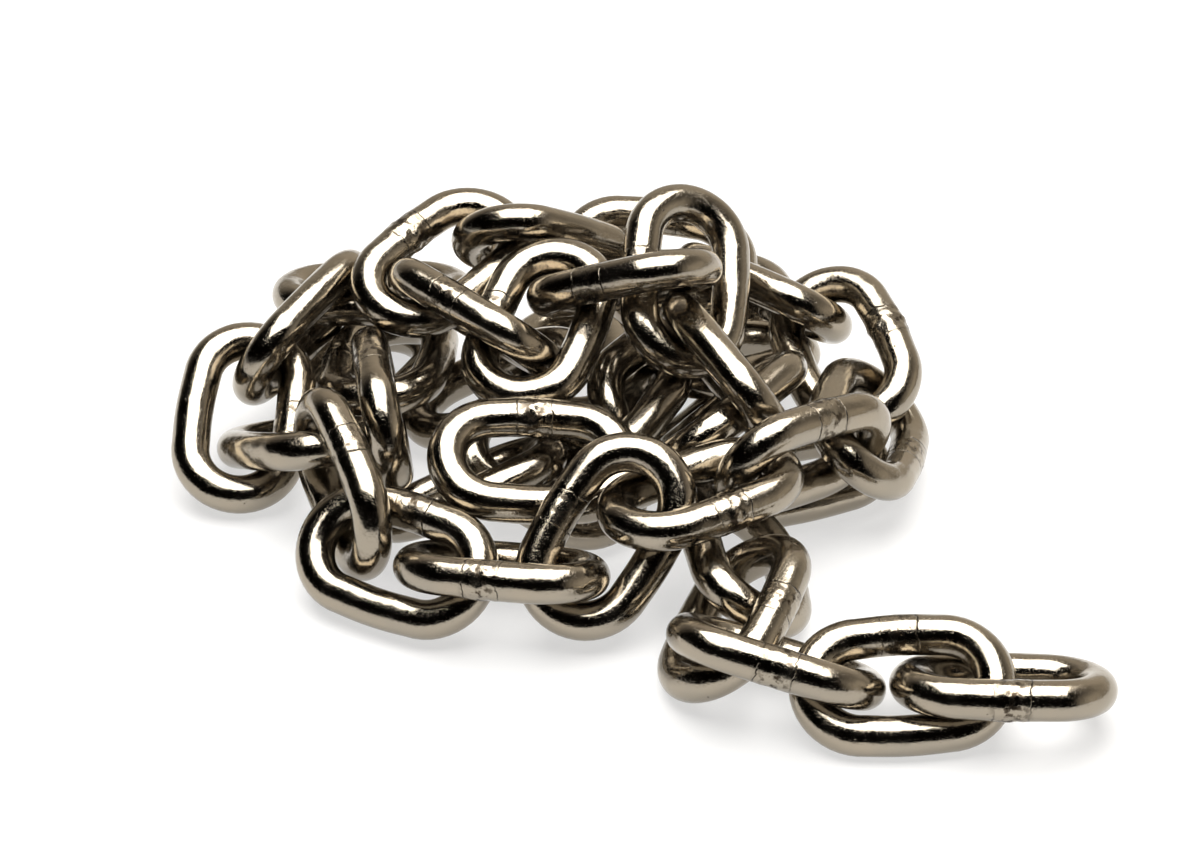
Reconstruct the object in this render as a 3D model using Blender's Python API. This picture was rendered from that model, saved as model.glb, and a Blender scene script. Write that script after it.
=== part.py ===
# A heap of short-link anchor chain in polished stainless steel, modelled in metres with +Z up.
# Each link is a bar bent into an oval, closed by a weld on one leg and threaded through its neighbours.
# The heap lies on a level floor at z = 0, with its loose end running out to +X.

import math

import bpy
import numpy as np
from mathutils import Matrix, Vector

MM = 0.001

# The link of a 10 mm short-link chain
BAR = 10.0
PITCH = 35.0
WIDTH = 36.0
CROWN_RADIUS = 12.5
LEG_BOW = (WIDTH - BAR) / 2 - CROWN_RADIUS
CROWN_CENTRE = (PITCH + BAR) / 2 - CROWN_RADIUS
CROWN_STEPS = 6
LEG_STATIONS = (4.0, 0.0, -4.0)
WELD_SWELL = 1.04
BEVEL_STEPS = 2

# How the links are let settle against each other
CLEARANCE = 0.3
JOINED_SLACK = 0.45
ROUNDS = 600
STEP = 0.4
PULL = 0.35
HOME_PULL = 0.03
HOME_TURN = 0.1
HOME_SHARE = 0.6
HELD = 0.25
YIELDING = 1.0
MOST_PULL = 2.0
REACH = PITCH + 2 * BAR + 3.0

STEEL_COLOUR = (0.62, 0.58, 0.53, 1.0)
STEEL_ROUGHNESS = 0.18

# Each run of links is in threading order. A link is its centre (x, y, z) in millimetres, then the
# heading, slope and roll of its long axis in degrees. The weld is on the leg to the left of the heading.
RUNS = {
    # The loose end, from the last link inwards
    "tail_link": [
        (97, -122, 10, 180, 1, 22),
        (73, -123, 12, 2, 3, 28),
        (42, -116, 14, 168, 14, 32),
        (30, -98, 15, -109, -12, 30),
        (32, -67, 10, 100, 0, 45),
        (43, -37, 6, 25, 0, 0),
    ],
    # The outside of the heap, from the left end round the front to the right and the back
    "rim_link": [
        (-59, 35, 25, 0, 0, -20),
        (-77, 11, 22, 50, 6, -58),
        (-91, -19, 18, -100, -26, -15),
        (-79, -29, 18, -45, 28, 0),
        (-67, -58, 21, -62, -16, 84),
        (-49, -74, 14, -27, 2, 34),
        (-24, -85, 16, 162, -3, 24),
        (-1, -80, 19, 54, 22, 13),
        (23, -69, 26, -153, -8, 4),
        (50, -51, 29, -140, 12, 62),
        (77, -31, 15, -102, 14, -30),
        (66, 6, 16, -72, -8, 18),
        (47, 28, 21, -46, 2, -44),
    ],
    # The top of the heap, on from the last link of the rim
    "crest_link": [
        (12, 36, 27, 0, -10, 19),
        (-16, 27, 36, 30, -31, -38),
        (-46, 12, 42, 47, 16, 12),
        (-35, -2, 40, 138, 2, 45),
        (-15, -12, 44, 70, 22, -3),
        (5, 0, 46, 153, -24, 29),
        (20, 5, 45, 84, 36, 32),
        (30, -21, 33, -64, -15, -60),
        (42, -19, 17, 54, -8, -32),
    ],
    # Two stretches seen inside the heap
    "inner_link": [
        (-53, 9, 22, 84, 12, -10),
        (-52, -19, 17, 90, 9, 82),
    ],
    "floor_link": [
        (-34, -42, 6, 35, 0, -20),
        (-6, -40, 7, -20, 0, 0),
        (14, -22, 9, 56, -2, -30),
        (16, 3, 7, 60, 0, 0),
    ],
}
# Links whose neighbours are buried
BURIED = {
    "arch_link": (-17, -51, 20, 4, -2, 22),
    "core_link_1": (37, 23, 9, 50, -2, -14),
    "core_link_2": (-2, 18, 6, 100, 0, 0),
    "core_link_3": (-27, 0, 8, 10, 0, -10),
    "core_link_4": (-62, 12, 5, 60, 0, 0),
    "back_link": (28, 57, 5, -6, 0, 0),
}
CONTINUED = ("rim_link", "crest_link")
LEANING = ("core_link_1", "back_link")
FIRM_RUNS = ("tail_link", "rim_link", "crest_link")
FIRM_BURIED = ("arch_link",)
YIELDING_LINKS = ("tail_link_5", "tail_link_6", "crest_link_9")


def clear_scene():
    for obj in list(bpy.data.objects):
        bpy.data.objects.remove(obj)


def centreline():
    """The middle of a link's bar, as points in its own plane: long axis X, width Y."""
    turns = np.radians(np.linspace(-90, 90, CROWN_STEPS + 1))
    half = [(CROWN_CENTRE + CROWN_RADIUS * math.cos(t), CROWN_RADIUS * math.sin(t), 0.0) for t in turns]
    for x in LEG_STATIONS:
        bow = LEG_BOW * math.cos(math.pi * x / 2 / CROWN_CENTRE)
        half.append((x, CROWN_RADIUS + bow, 0.0))
    return np.array(half + [(-x, -y, z) for x, y, z in half])


def axes_of(heading, slope, roll):
    """A link's long, width and normal axes as the columns of a matrix."""
    heading, slope, roll = (math.radians(angle) for angle in (heading, slope, roll))
    run = math.cos(slope)
    long = np.array([run * math.cos(heading), run * math.sin(heading), math.sin(slope)])
    level = np.array([-math.sin(heading), math.cos(heading), 0.0])
    width = math.cos(roll) * level + math.sin(roll) * np.cross(long, level)
    return np.stack([long, width, np.cross(long, width)], axis=1)


def turns_of(vectors):
    """The rotation matrices of rotation vectors."""
    angle = np.linalg.norm(vectors, axis=1)[:, None, None]
    x, y, z = (vectors / np.maximum(angle[:, :, 0], 1e-12)).T
    none = np.zeros(len(vectors))
    cross = np.stack([none, -z, y, z, none, -x, -y, x, none], axis=1).reshape(-1, 3, 3)
    return np.eye(3) + np.sin(angle) * cross + (1 - np.cos(angle)) * cross @ cross


def nearest_points(a0, a1, b0, b1):
    """The nearest points of two straight stretches, a0 to a1 and b0 to b1."""
    u, v, w = a1 - a0, b1 - b0, a0 - b0
    uu, uv, vv = ((p * q).sum(-1) for p, q in ((u, u), (u, v), (v, v)))
    uw, vw = ((p * w).sum(-1) for p in (u, v))
    s = np.clip((uv * vw - vv * uw) / np.maximum(uu * vv - uv * uv, 1e-9), 0, 1)
    t = np.clip((uv * s + vw) / vv, 0, 1)
    s = np.clip((uv * t - uw) / uu, 0, 1)
    return a0 + s[..., None] * u, b0 + t[..., None] * v


def settle(centres, turns, joined, give):
    """Moves the links apart to the clearance, joined ones together and all of them above the floor.

    Each round pushes every pair that is too close along the line between its nearest points, shared out
    by how readily each of the two gives way, and turns both by the same push."""
    line = centreline()
    home, home_turns = centres.copy(), turns.copy()
    first, second = np.triu_indices(len(centres), 1)
    is_joined = np.array([pair in joined for pair in zip(first, second)])
    swing = (WIDTH / 2) ** 2
    for turn in range(ROUNDS):
        bars = centres[:, None] + np.einsum("nij,kj->nki", turns, line)
        ends = np.roll(bars, -1, axis=1)
        near = np.linalg.norm(centres[first] - centres[second], axis=1) < REACH
        i, j, held = first[near], second[near], is_joined[near]
        p, q = nearest_points(bars[i][:, :, None], ends[i][:, :, None], bars[j][:, None], ends[j][:, None])
        apart = p - q
        gap = np.maximum(np.linalg.norm(apart, axis=-1), 1e-6)
        deep = np.maximum(BAR + CLEARANCE - gap, 0)
        weight = deep**2 / np.maximum((deep**2).sum((1, 2)), 1e-9)[:, None, None]
        push = (weight * deep / gap)[..., None] * apart
        force = push.sum((1, 2))
        twist_i = np.cross(p - centres[i][:, None, None], push).sum((1, 2))
        twist_j = np.cross(q - centres[j][:, None, None], -push).sum((1, 2))

        best = gap.reshape(len(i), -1).argmin(1)
        rows = np.arange(len(i))
        p, q = p.reshape(len(i), -1, 3)[rows, best], q.reshape(len(i), -1, 3)[rows, best]
        least = gap.reshape(len(i), -1)[rows, best]
        wide = np.where(held, np.clip(least - BAR - JOINED_SLACK, 0, MOST_PULL), 0)
        pull = -(PULL * wide / least)[:, None] * (p - q)
        force = force + pull
        twist_i = twist_i + np.cross(p - centres[i], pull)
        twist_j = twist_j - np.cross(q - centres[j], pull)

        share = (2 * give[i] / (give[i] + give[j]))[:, None]
        move, twist = np.zeros((2, len(centres), 3))
        np.add.at(move, i, share * force)
        np.add.at(move, j, (share - 2) * force)
        np.add.at(twist, i, share * twist_i)
        np.add.at(twist, j, (2 - share) * twist_j)

        low = np.maximum(BAR / 2 - bars[:, :, 2], 0)
        lift = np.zeros_like(bars)
        lift[:, :, 2] = low**3 / np.maximum((low**2).sum(1), 1e-9)[:, None]
        move += lift.sum(1)
        twist += np.cross(bars - centres[:, None], lift).sum(1)
        if turn < ROUNDS * HOME_SHARE:
            move += HOME_PULL * (home - centres)
            turned = np.cross(turns, home_turns, axis=1).sum(axis=2)
            twist += HOME_TURN * swing * turned / 2
        centres = centres + STEP * move
        turns = turns_of(STEP * twist / swing) @ turns
    return centres, turns


def laid_links():
    """Every link's name, pose and give, and which links thread or lean on each other."""
    poses, give, joined = {}, [], set()
    for run, links in RUNS.items():
        for number, pose in enumerate(links, 1):
            name = f"{run}_{number}"
            if number > 1:
                joined.add((len(poses) - 1, len(poses)))
            elif run == CONTINUED[1]:
                joined.add((list(poses).index(f"{CONTINUED[0]}_{len(RUNS[CONTINUED[0]])}"), len(poses)))
            firm = run in FIRM_RUNS and name not in YIELDING_LINKS
            poses[name] = pose
            give.append(HELD if firm else YIELDING)
    for name, pose in BURIED.items():
        poses[name] = pose
        give.append(HELD if name in FIRM_BURIED else YIELDING)
    joined.add(tuple(list(poses).index(name) for name in LEANING))
    return poses, np.array(give), joined


def polished_steel():
    material = bpy.data.materials.new("polished_stainless_steel")
    material.use_nodes = True
    shader = material.node_tree.nodes["Principled BSDF"]
    shader.inputs["Base Color"].default_value = STEEL_COLOUR
    shader.inputs["Metallic"].default_value = 1.0
    shader.inputs["Roughness"].default_value = STEEL_ROUGHNESS
    return material


def make_link(name, centre, turn, material, collection):
    """One link: a round bar along the closed centreline, a little thicker at the weld."""
    curve = bpy.data.curves.new(name, "CURVE")
    curve.dimensions = "3D"
    curve.bevel_depth = BAR / 2 * MM
    curve.bevel_resolution = BEVEL_STEPS
    curve.resolution_u = 1
    points = centreline()
    weld = CROWN_STEPS + 1 + LEG_STATIONS.index(0.0)
    spline = curve.splines.new("POLY")
    spline.points.add(len(points) - 1)
    spline.use_cyclic_u = True
    for index, point in enumerate(points):
        spline.points[index].co = (*(point * MM), 1.0)
        spline.points[index].radius = WELD_SWELL if index == weld else 1.0
    curve.materials.append(material)
    link = bpy.data.objects.new(name, curve)
    link.matrix_world = Matrix.Translation(centre * MM) @ Matrix(turn.tolist()).to_4x4()
    collection.objects.link(link)
    return link


def stand_on_floor(links):
    """Moves the whole heap so that the middle of its bounding box's base is at the origin."""
    bpy.context.view_layer.update()
    graph = bpy.context.evaluated_depsgraph_get()
    corners = []
    for link in links:
        mesh = link.evaluated_get(graph).to_mesh()
        corners += [link.matrix_world @ vertex.co for vertex in mesh.vertices]
    low, high = np.array(corners).min(axis=0), np.array(corners).max(axis=0)
    base = Vector(((low[0] + high[0]) / 2, (low[1] + high[1]) / 2, low[2]))
    for link in links:
        link.location -= base


def build():
    clear_scene()
    collection = bpy.data.collections.new("anchor_chain_heap")
    bpy.context.scene.collection.children.link(collection)
    poses, give, joined = laid_links()
    centres = np.array([pose[:3] for pose in poses.values()], float)
    turns = np.array([axes_of(*pose[3:]) for pose in poses.values()])
    centres, turns = settle(centres, turns, joined, give)

    material = polished_steel()
    links = [make_link(name, *pose, material, collection) for name, *pose in zip(poses, centres, turns)]
    stand_on_floor(links)


build()
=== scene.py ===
import math

import bpy
import numpy as np
from mathutils import Matrix, Vector


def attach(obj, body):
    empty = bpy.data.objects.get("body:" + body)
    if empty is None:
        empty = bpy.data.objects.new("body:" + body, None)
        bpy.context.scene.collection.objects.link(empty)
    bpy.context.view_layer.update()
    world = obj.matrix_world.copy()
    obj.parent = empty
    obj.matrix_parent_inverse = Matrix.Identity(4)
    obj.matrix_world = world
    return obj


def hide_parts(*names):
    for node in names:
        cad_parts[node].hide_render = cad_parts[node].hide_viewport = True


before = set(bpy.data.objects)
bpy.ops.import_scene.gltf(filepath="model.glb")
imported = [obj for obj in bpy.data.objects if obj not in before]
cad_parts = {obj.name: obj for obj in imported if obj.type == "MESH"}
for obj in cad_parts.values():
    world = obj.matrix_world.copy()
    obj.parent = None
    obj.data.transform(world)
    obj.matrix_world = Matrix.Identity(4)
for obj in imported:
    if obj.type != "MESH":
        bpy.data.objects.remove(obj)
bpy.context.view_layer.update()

MM = 0.001

# The link of a short-link chain of 10 mm bar
BAR = 10.0 * MM
PITCH = 35.0 * MM
WIDTH = 36.0 * MM
CROWN_RADIUS = 12.5 * MM
CROWN_CENTRE = (PITCH + BAR) / 2 - CROWN_RADIUS
LEG_BOW = (WIDTH - BAR) / 2 - CROWN_RADIUS

# How finely the bar is modelled
SIDES = 40
CROWN_STEPS = 24
PLAIN_LEG_STEPS = 10
WELD_HALF = 6.0 * MM
WELD_STEPS = 26
RUN_UP_STEPS = 3
SAME_PLACE = 0.01 * MM

# The weld: a lumpy collar with a few sharp beads, bold on one welding run and nearly flush on another
RUN_BOLDNESS = (1.0, 0.3, 0.55, 0.2)
BOLDLY_WELDED = (
    "crest_link_3",
    "crest_link_7",
    "rim_link_12",
    "rim_link_9",
    "arch_link",
    "core_link_1",
)
WELD_FALL = 1.3
COLLAR_SWELL = 0.15 * MM
BEAD_SIZE = 2.6 * MM
BEAD_HEIGHT = 0.75 * MM
RIPPLE_SIZE = 1.1 * MM
RIPPLE_HEIGHT = 0.3 * MM
RUN_SPACING = 50.0 * MM

# The photograph's viewpoint
CAMERA_DISTANCE = 1.0
CAMERA_ELEVATION = math.radians(35.0)
NEAREST_SEEN = 0.05
PIXELS_PER_RADIAN = 3720.0
PHOTO_WIDTH = 1200
SENSOR_WIDTH = 36.0
TARGET = (-6.3 * MM, 30.1 * MM, 0.2 * MM)

# Colours, as sRGB hex
WARM_STEEL = "#A99F8F"
PLAIN_STEEL = "#9C978D"
PIT_DIRT = "#2A241E"
WELD_TINT = "#4A4136"
SEAM_DIRT = "#2E2820"
TABLE_MATT = "#A3A3A3"
TABLE_LIGHT = "#FFFFFF"
DARK_ROOM = "#0D0A07"
PALE_ROOM = "#E6DCCD"
SOFTBOX_COLOUR = "#FFFDFA"

# The steel's patterns: the size of their lumps, and how many finer layers they carry. The grain of real drum
# polish is too fine to show here, so it is drawn 0.4 mm wide.
PATTERNS = {
    "drift": (14.0 * MM, 2.0),
    "ripple": (7.0 * MM, 1.0),
    "haze": (5.0 * MM, 4.0),
    "wander": (2.5 * MM, 2.0),
    "grime": (2.2 * MM, 3.0),
    "peel": (0.9 * MM, 3.0),
    "grain": (0.4 * MM, 2.0),
}
LUMPINESS = 0.55
PIT_SPACING = 6.0 * MM
SEAM_WANDER = 0.5

# Roughness of the steel, and depths of its relief
MIRROR = 0.07
HAZE = 0.2
WELD_ROUGHNESS = 0.2
RIPPLE_RELIEF = 0.3 * MM
PEEL_RELIEF = 0.035 * MM
PIT_RELIEF = 0.08 * MM
SEAM_RELIEF = 0.12 * MM
GRAIN_RELIEF = 0.015 * MM

# The marks that the patterns make: the pattern, where in its range the mark begins and ends, and its value
# at each end
MARKS = {
    "pit": ("pits", 0.02, 0.05, 1.0, 0.0),
    "tint": ("grime", 0.5, 0.62, 0.0, 1.0),
    "seam_outside": ("weld_edge", 0.5, 0.54, 0.0, 1.0),
    "seam_inside": ("weld_edge", 0.57, 0.62, 1.0, 0.0),
    "seam_share": ("haze", 0.38, 0.58, 0.1, 0.9),
    "polish": ("haze", 0.35, 0.7, MIRROR, HAZE),
    "grain": ("grain", 0.55, 0.7, 0.0, 1.0),
}

# The studio
FLOOR_SIZE = 5.0
TABLE_GLOW = 0.64
TABLE_ROUGHNESS = 0.9
BRIGHT_WAY = (0.45, 0.85, -0.1)
DARK_FRONT, PALE_BACK = -0.05, 0.75
DARK_SIDE, PALE_SIDE = 0.6, 0.95
CLUTTER_SIZE = 0.9
CLUTTER_LAYERS = 2.0
CLUTTER_DARK, CLUTTER_CLEAR = 0.35, 0.6
CLUTTER_SHADE = 0.5
SOFTBOX_PLACE = (0, 0.05, 1.0)
SOFTBOX_SIZE = 1.15
SOFTBOX_POWER = 24.0
# The photograph is printed harder than a plain exposure
PRINT_GAMMA = 0.85


def linear(hex_colour):
    """An sRGB colour as Blender's linear RGBA."""
    channels = [int(hex_colour[i : i + 2], 16) / 255 for i in (1, 3, 5)]
    return (*[c / 12.92 if c <= 0.04045 else ((c + 0.055) / 1.055) ** 2.4 for c in channels], 1.0)


# Camera

def photograph_camera():
    camera = bpy.data.objects.new("camera", bpy.data.cameras.new("camera"))
    camera.data.sensor_width = SENSOR_WIDTH
    camera.data.lens = PIXELS_PER_RADIAN / PHOTO_WIDTH * SENSOR_WIDTH
    camera.data.clip_start = NEAREST_SEEN
    away = Vector((0, -math.cos(CAMERA_ELEVATION), math.sin(CAMERA_ELEVATION)))
    camera.location = Vector(TARGET) + CAMERA_DISTANCE * away
    camera.rotation_euler = (math.pi / 2 - CAMERA_ELEVATION, 0, 0)
    bpy.context.collection.objects.link(camera)
    bpy.context.scene.camera = camera


# Materials

def add_node(tree, kind, settings=(), links=()):
    """Adds a node, gives it its settings and links other sockets into its inputs."""
    node = tree.nodes.new(kind)
    for name, value in dict(settings).items():
        if isinstance(name, int) or name in node.inputs:
            node.inputs[name].default_value = value
        else:
            setattr(node, name, value)
    for name, source in dict(links).items():
        tree.links.new(source, node.inputs[name])
    return node


def drum_polished_stainless():
    """Marine stainless steel, drum-polished after welding.

    The tumbling leaves a warm, bright mirror with a faint orange peel, a fine grain and a few pits, and the
    weld keeps a darker, rougher skin in its hollows."""
    material = bpy.data.materials.new("drum_polished_stainless_steel")
    material.use_nodes = True
    tree = material.node_tree
    shader = tree.nodes["Principled BSDF"]
    shader.inputs["Metallic"].default_value = 1.0
    place = add_node(tree, "ShaderNodeTexCoord").outputs["Object"]
    weld = add_node(tree, "ShaderNodeAttribute", {"attribute_name": "weld_skin"}).outputs["Fac"]

    pits = add_node(tree, "ShaderNodeTexVoronoi", {"Scale": 1 / PIT_SPACING, "Randomness": 1.0}, {"Vector": place})
    patterns = {"pits": pits.outputs["Distance"]}
    for name, (size, layers) in PATTERNS.items():
        settings = {"Scale": 1 / size, "Detail": layers, "Roughness": LUMPINESS}
        patterns[name] = add_node(tree, "ShaderNodeTexNoise", settings, {"Vector": place}).outputs["Fac"]
    settings = {"operation": "MULTIPLY_ADD", 1: SEAM_WANDER}
    edge = add_node(tree, "ShaderNodeMath", settings, {0: patterns["wander"], 2: weld})
    patterns["weld_edge"] = edge.outputs["Value"]

    marks = {}
    for name, (pattern, begins, ends, first, last) in MARKS.items():
        settings = {"From Min": begins, "From Max": ends, "To Min": first, "To Max": last}
        mark = add_node(tree, "ShaderNodeMapRange", settings, {"Value": patterns[pattern]})
        marks[name] = mark.outputs["Result"]

    # The heat tint keeps to the weld. A thin seam rings each end of the weld, fainter in places.
    for name, one, other in (
        ("weld_tint", marks["tint"], weld),
        ("seam_ring", marks["seam_outside"], marks["seam_inside"]),
    ):
        both = add_node(tree, "ShaderNodeMath", {"operation": "MULTIPLY"}, {0: one, 1: other})
        marks[name] = both.outputs["Value"]
    seam = add_node(
        tree, "ShaderNodeMath", {"operation": "MULTIPLY"}, {0: marks["seam_ring"], 1: marks["seam_share"]}
    ).outputs["Value"]

    # The colour drifts between warmer and plainer steel, with dirt and tint over it
    settings = {"data_type": "RGBA", 6: linear(WARM_STEEL), 7: linear(PLAIN_STEEL)}
    steel = add_node(tree, "ShaderNodeMix", settings, {0: patterns["drift"]}).outputs[2]
    for share, colour in ((marks["pit"], PIT_DIRT), (marks["weld_tint"], WELD_TINT), (seam, SEAM_DIRT)):
        settings = {"data_type": "RGBA", 7: linear(colour)}
        steel = add_node(tree, "ShaderNodeMix", settings, {0: share, 6: steel}).outputs[2]
    tree.links.new(steel, shader.inputs["Base Color"])

    # Polish: a mirror, hazed in patches and rough where the weld is tinted
    settings = {"operation": "MULTIPLY_ADD", 1: WELD_ROUGHNESS}
    rough = add_node(tree, "ShaderNodeMath", settings, {0: marks["weld_tint"], 2: marks["polish"]})
    tree.links.new(rough.outputs["Value"], shader.inputs["Roughness"])

    # Relief, from the drum's wide ripple down to the grain. Pits and seams are hollows.
    links = {}
    for height, depth, hollow in (
        (patterns["ripple"], RIPPLE_RELIEF, False),
        (patterns["peel"], PEEL_RELIEF, False),
        (marks["pit"], PIT_RELIEF, True),
        (seam, SEAM_RELIEF, True),
        (marks["grain"], GRAIN_RELIEF, False),
    ):
        links["Height"] = height
        relief = add_node(tree, "ShaderNodeBump", {"Distance": depth, "invert": hollow}, links)
        links["Normal"] = relief.outputs["Normal"]
    tree.links.new(links["Normal"], shader.inputs["Normal"])
    return material


def lit_acrylic():
    """White acrylic, lit from below, so that shadows on it stay faint."""
    material = bpy.data.materials.new("lit_white_acrylic")
    material.use_nodes = True
    shader = material.node_tree.nodes["Principled BSDF"]
    for name, value in (
        ("Base Color", linear(TABLE_MATT)),
        ("Emission Color", linear(TABLE_LIGHT)),
        ("Emission Strength", TABLE_GLOW),
        ("Roughness", TABLE_ROUGHNESS),
        ("Specular IOR Level", 0.0),
    ):
        shader.inputs[name].default_value = value
    return material


# The link, bent and welded

def select_only(obj):
    bpy.ops.object.select_all(action="DESELECT")
    obj.select_set(True)
    bpy.context.view_layer.objects.active = obj


def push_ring(dx, dy):
    """Draws the selected end ring of the bar on by one step."""
    bpy.ops.mesh.extrude_region_move(TRANSFORM_OT_translate={"value": (dx, dy, 0)})


def bow_at(x):
    return LEG_BOW * math.cos(math.pi * x / 2 / CROWN_CENTRE)


def draw_leg(stations, side):
    """Draws the bar along one leg, through the given places of its long axis."""
    for here, there in zip(stations, stations[1:]):
        push_ring(there - here, side * (bow_at(there) - bow_at(here)))


def bend_crown(centre_x):
    bpy.ops.mesh.spin(steps=CROWN_STEPS, angle=-math.pi, center=(centre_x, 0, 0), axis=(0, 0, 1))


def bend_link():
    """Bends a round bar into the link, starting and ending at one corner."""
    bpy.ops.object.select_all(action="DESELECT")
    bpy.ops.mesh.primitive_circle_add(
        vertices=SIDES,
        radius=BAR / 2,
        location=(CROWN_CENTRE, -CROWN_RADIUS, 0),
        rotation=(0, math.pi / 2, 0),
    )
    link = bpy.context.object
    bpy.ops.object.transform_apply()
    bpy.ops.object.mode_set(mode="EDIT")
    bpy.ops.mesh.select_all(action="SELECT")
    bend_crown(CROWN_CENTRE)
    run_up = np.linspace(CROWN_CENTRE, WELD_HALF, RUN_UP_STEPS + 1)
    weld = np.linspace(WELD_HALF, -WELD_HALF, WELD_STEPS + 1)
    draw_leg([*run_up, *weld[1:], *-run_up[::-1][1:]], 1)
    bend_crown(-CROWN_CENTRE)
    draw_leg(np.linspace(-CROWN_CENTRE, CROWN_CENTRE, PLAIN_LEG_STEPS + 1), -1)
    bpy.ops.mesh.select_all(action="SELECT")
    bpy.ops.mesh.remove_doubles(threshold=SAME_PLACE)
    bpy.ops.mesh.normals_make_consistent(inside=False)
    bpy.ops.object.mode_set(mode="OBJECT")
    return link


def weld_share(point):
    """How much of the weld is at a point of the link: 1 in the middle of the welded leg, 0 away from it."""
    if point.y < 0 or abs(point.x) > WELD_HALF:
        return 0.0
    return math.cos(math.pi / 2 * point.x / WELD_HALF) ** WELD_FALL


def mark_weld(link):
    """Keeps each point's share of the weld, for its shape and for its finish."""
    shares = [weld_share(vertex.co) for vertex in link.data.vertices]
    group = link.vertex_groups.new(name="weld")
    for index, share in enumerate(shares):
        group.add([index], share, "REPLACE")
    attribute = link.data.attributes.new("weld_skin", "FLOAT", "POINT")
    attribute.data.foreach_set("value", shares)


def lay_beads(link, number, boldness):
    """Swells the weld's collar and presses beads and ripples into it, from another place of the same
    pattern on each run."""
    link.location.x = number * RUN_SPACING
    for name, kind, size, height, middle in (
        ("collar", "NONE", 1.0, COLLAR_SWELL, 0.0),
        ("beads", "VORONOI", BEAD_SIZE, BEAD_HEIGHT, 0.5),
        ("ripples", "CLOUDS", RIPPLE_SIZE, RIPPLE_HEIGHT, 0.5),
    ):
        modifier = link.modifiers.new(name, "DISPLACE")
        modifier.vertex_group = "weld"
        modifier.strength = height * boldness
        modifier.mid_level = middle
        if kind != "NONE":
            modifier.texture = bpy.data.textures.new(f"weld_{name}", kind)
            modifier.texture.noise_scale = size
            modifier.texture_coords = "GLOBAL"
        bpy.ops.object.modifier_apply(modifier=name)
    link.location.x = 0


def welded_links():
    """One finished link for each welding run."""
    bent = bend_link()
    mark_weld(bent)
    links = []
    for number, boldness in enumerate(RUN_BOLDNESS):
        link = bent.copy()
        link.data = bent.data.copy()
        bpy.context.collection.objects.link(link)
        select_only(link)
        lay_beads(link, number, boldness)
        bpy.ops.object.shade_smooth()
        links.append(link)
    bpy.data.objects.remove(bent)
    return links


# The heap

def pose_of(node):
    """Where a link lies, from its solid: its middle, and its long, weld-side and normal axes."""
    corners = [tuple(vertex.co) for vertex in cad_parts[node].data.vertices]
    points = np.unique(np.round(corners, 7), axis=0)
    middle = points.mean(axis=0)
    _, axes = np.linalg.eigh(np.cov((points - middle).T))
    long, width = axes[:, 2], axes[:, 1]
    reach = (points - middle) @ width
    if -reach.min() > reach.max():
        width = -width
    if long[0] < 0:
        long = -long
    turn = Matrix([long, width, np.cross(long, width)]).transposed().to_4x4()
    return Matrix.Translation(middle) @ turn


def lay_link(node, pattern, steel):
    link = pattern.copy()
    link.data = pattern.data.copy()
    link.data.name = link.name = f"{node}_polished"
    link.data.transform(pose_of(node))
    link.data.materials.clear()
    link.data.materials.append(steel)
    bpy.context.collection.objects.link(link)
    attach(link, "root")
    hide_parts(node)


def lay_heap():
    steel = drum_polished_stainless()
    patterns = welded_links()
    bold, *plainer = patterns
    for number, node in enumerate(sorted(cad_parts)):
        lay_link(node, bold if node in BOLDLY_WELDED else plainer[number % len(plainer)], steel)
    for pattern in patterns:
        bpy.data.objects.remove(pattern)


# The studio

def lay_floor():
    bpy.ops.object.select_all(action="DESELECT")
    bpy.ops.mesh.primitive_plane_add(size=FLOOR_SIZE, location=(0, 0, 0))
    floor = bpy.context.object
    floor.name = "lit_table"
    floor.data.materials.append(lit_acrylic())


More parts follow.
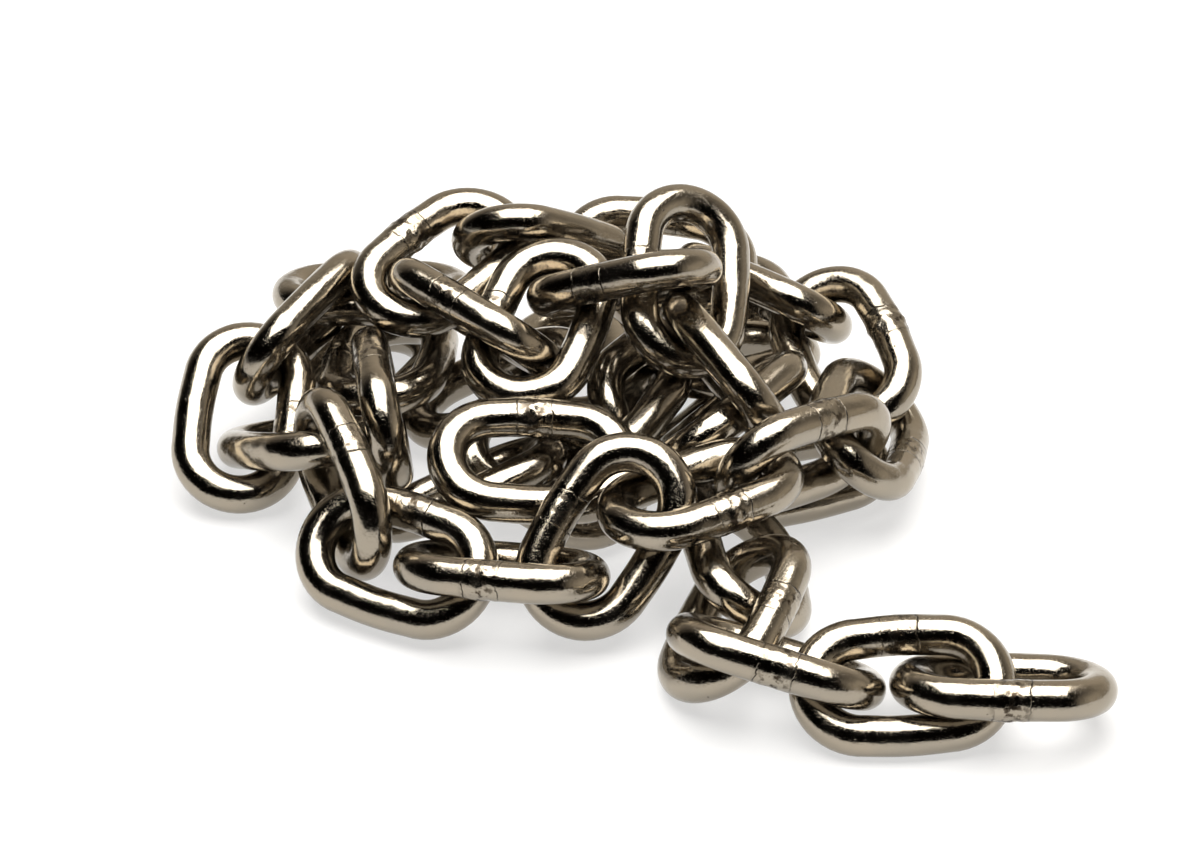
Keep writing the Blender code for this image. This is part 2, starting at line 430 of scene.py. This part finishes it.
def hang_softbox():
    light = bpy.data.lights.new("overhead_softbox", "AREA")
    light.shape = "RECTANGLE"
    light.size = light.size_y = SOFTBOX_SIZE
    light.energy = SOFTBOX_POWER
    light.color = linear(SOFTBOX_COLOUR)[:3]
    lamp = bpy.data.objects.new("overhead_softbox", light)
    lamp.location = SOFTBOX_PLACE
    lamp.rotation_euler = (-Vector(SOFTBOX_PLACE)).to_track_quat("-Z", "Y").to_euler()
    bpy.context.collection.objects.link(lamp)


def studio_surroundings():
    """A pale back and sides and a dark front, as around a table in a studio."""
    world = bpy.data.worlds.new("studio")
    bpy.context.scene.world = world
    world.use_nodes = True
    tree = world.node_tree
    tree.nodes.clear()
    way = add_node(tree, "ShaderNodeTexCoord").outputs["Generated"]
    across = add_node(tree, "ShaderNodeSeparateXYZ", {}, {"Vector": way})
    # The back counts as further round to the right than to the left
    turned = add_node(tree, "ShaderNodeVectorMath", {"operation": "DOT_PRODUCT", 1: BRIGHT_WAY}, {0: way})
    # Shelves and doorways break up the pale walls
    settings = {"Scale": 1 / CLUTTER_SIZE, "Detail": CLUTTER_LAYERS, "Roughness": LUMPINESS}
    clutter = add_node(tree, "ShaderNodeTexNoise", settings, {"Vector": way})
    back, side, clear = (
        add_node(
            tree, "ShaderNodeMapRange", {"From Min": low, "From Max": high, "To Min": least}, {"Value": value}
        ).outputs["Result"]
        for value, low, high, least in (
            (turned.outputs["Value"], DARK_FRONT, PALE_BACK, 0.0),
            (across.outputs["X"], DARK_SIDE, PALE_SIDE, 0.0),
            (clutter.outputs["Fac"], CLUTTER_DARK, CLUTTER_CLEAR, CLUTTER_SHADE),
        )
    )
    walls = add_node(tree, "ShaderNodeMath", {"operation": "MAXIMUM"}, {0: back, 1: side})
    pale = add_node(tree, "ShaderNodeMath", {"operation": "MULTIPLY"}, {0: walls.outputs["Value"], 1: clear})
    settings = {"data_type": "RGBA", 6: linear(DARK_ROOM), 7: linear(PALE_ROOM)}
    colour = add_node(tree, "ShaderNodeMix", settings, {0: pale.outputs["Value"]})
    glow = add_node(tree, "ShaderNodeBackground", {"Strength": 1.0}, {"Color": colour.outputs[2]})
    add_node(tree, "ShaderNodeOutputWorld", {}, {"Surface": glow.outputs["Background"]})


photograph_camera()
lay_heap()
lay_floor()
studio_surroundings()
hang_softbox()
bpy.context.scene.view_settings.view_transform = "Standard"
bpy.context.scene.view_settings.gamma = PRINT_GAMMA
